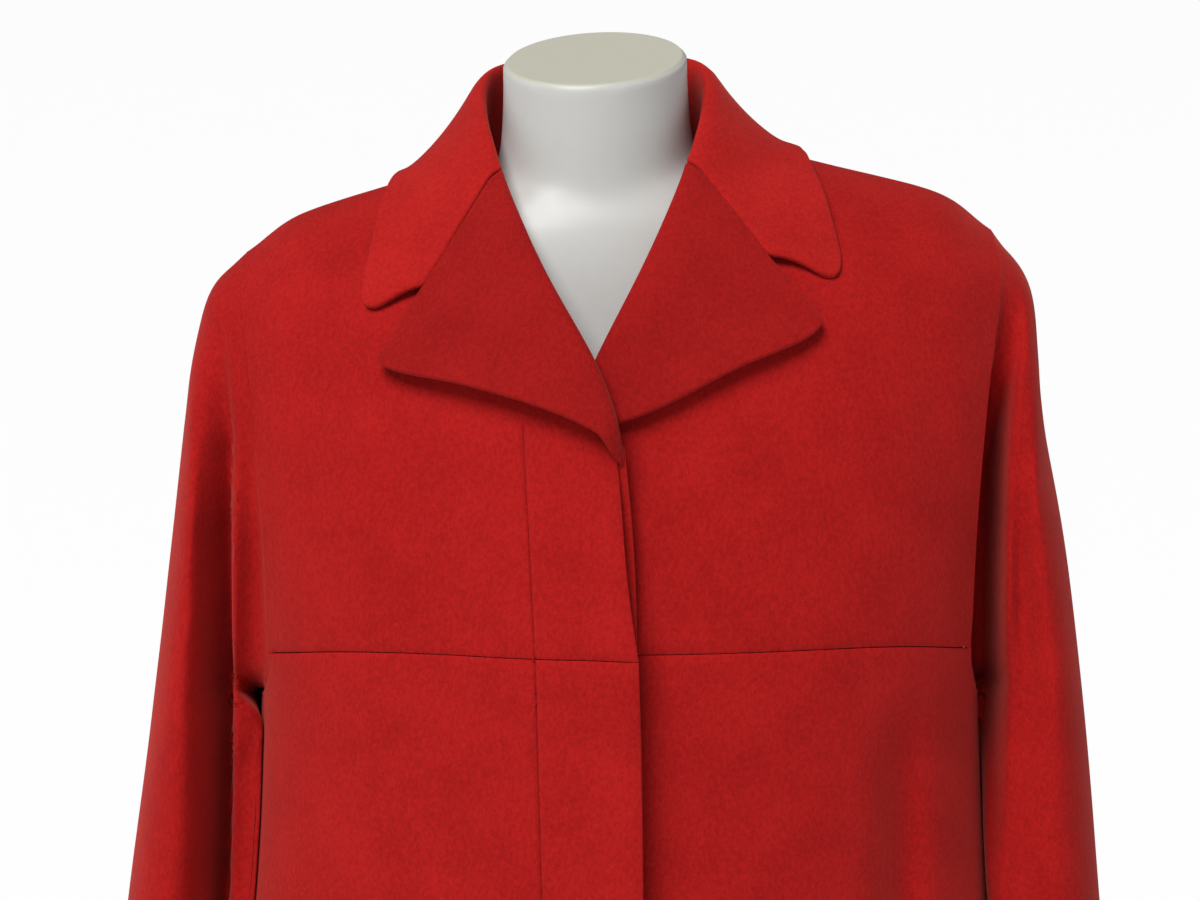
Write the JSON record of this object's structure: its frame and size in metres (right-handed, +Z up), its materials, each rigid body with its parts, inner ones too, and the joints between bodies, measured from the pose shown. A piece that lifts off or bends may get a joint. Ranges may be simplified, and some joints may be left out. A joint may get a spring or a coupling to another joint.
{
  "type": "cashmere coat on a dress form",
  "caption": "Red cashmere coat with a notched collar, chest seam and concealed fly front, hung on a white limbless dress form with a pole and a round base",
  "frame": {"origin": "on the floor, in the middle of the base's flat underside, under the pole", "axes": "+Z up; the coat's front faces -Y; the wearer's left is at +X"},
  "size_m": [0.619, 0.4461, 1.4928],
  "materials": {
    "cashmere": "brushed red cashmere with a short, soft nap",
    "form_shell": "milky white moulded shell, half gloss",
    "steel": "satin steel"
  },
  "bodies": {
    "root": {"coat_back_left": "cashmere", "coat_back_right": "cashmere", "coat_collar": "cashmere", "coat_fly_strip": "cashmere", "coat_front_skirt_left": "cashmere", "coat_front_skirt_right": "cashmere", "coat_front_yoke_left": "cashmere", "coat_front_yoke_right": "cashmere", "coat_lapel_left": "cashmere", "coat_lapel_right": "cashmere", "coat_sleeve_left": "cashmere", "coat_sleeve_right": "cashmere", "form_base": "steel", "form_pole": "steel", "form_torso": "form_shell"}
  },
  "joints": []
}
